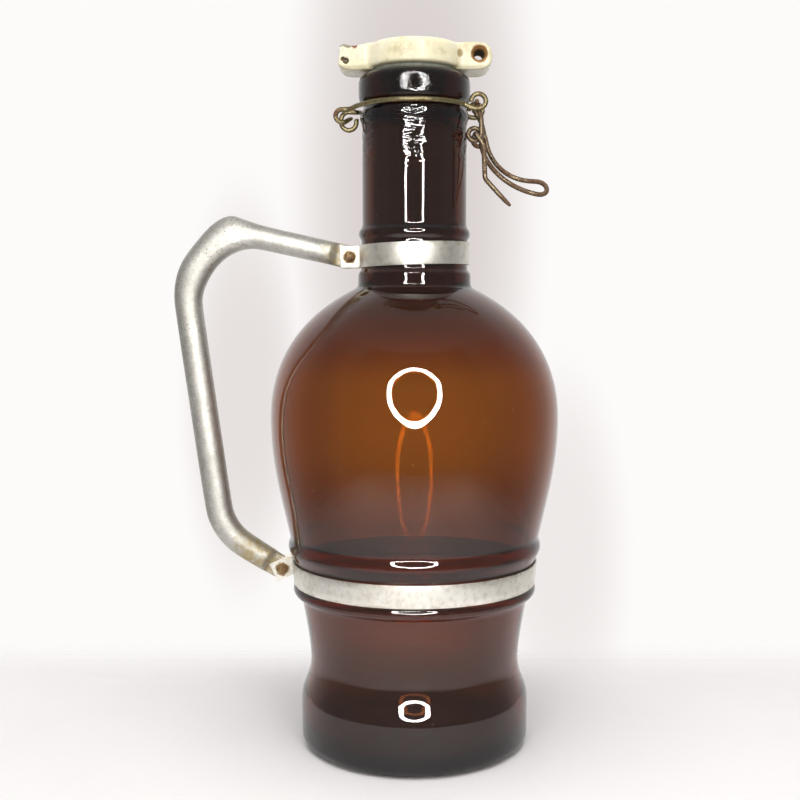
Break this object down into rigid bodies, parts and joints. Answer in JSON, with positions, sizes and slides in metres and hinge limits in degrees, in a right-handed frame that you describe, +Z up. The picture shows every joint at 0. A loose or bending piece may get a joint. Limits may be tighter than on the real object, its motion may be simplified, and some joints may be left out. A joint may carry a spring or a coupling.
{
  "type": "growler",
  "caption": "Amber glass beer growler with an aluminium side handle on strap bands and a swing-top closure of bent wire with a porcelain cap and rubber seal.",
  "frame": {"origin": "centre of the bottle's base, on the surface it stands on", "axes": "+Z up the bottle's axis; the handle is at -X and the closure's lever at +X"},
  "size_m": [0.183, 0.1372, 0.334],
  "materials": {
    "amber_glass": "clear dark amber, fire-polished",
    "porcelain": "glazed, with rust stains and a broken ear",
    "seal_rubber": "aged grey-green",
    "neck_wire": "dull yellow-passivated, spotted with rust",
    "lever_wire": "rusted",
    "handle_metal": "satin, lightly scratched",
    "band_metal": "satin, dirt along the edges",
    "rusty_screw": "rusted"
  },
  "bodies": {
    "bottle": {"glass_bottle": "amber_glass", "handle_tube": "handle_metal", "upper_band": "band_metal", "lower_band": "band_metal", "upper_screw": "rusty_screw", "upper_nut": "rusty_screw", "lower_screw": "rusty_screw", "lower_nut": "rusty_screw"},
    "cap": {"porcelain_cap": "porcelain", "cap_seal": "seal_rubber"},
    "neck_wire": {"neck_wire_front": "neck_wire", "neck_wire_rear": "neck_wire"},
    "lever": {"closure_lever": "lever_wire"},
    "link": {"bail_link": "lever_wire"}
  },
  "joints": [
    {"name": "cap_lift", "type": "slide", "parent": "bottle", "child": "cap", "axis": [0, 0, 1], "range_m": [0, 0.05]},
    {"name": "closure_turn", "type": "hinge", "parent": "bottle", "child": "neck_wire", "pos_m": [0, 0, 0.3036], "axis": [0, 0, 1], "continuous": true},
    {"name": "lever_swing", "type": "hinge", "parent": "neck_wire", "child": "lever", "pos_m": [0.0287, 0, 0.3046], "axis": [0, -1, 0], "range_deg": [0, 110]},
    {"name": "link_swing", "type": "hinge", "parent": "lever", "child": "link", "pos_m": [0.028, -0.012, 0.28975], "axis": [0, -1, 0], "range_deg": [-25, 75]}
  ]
}
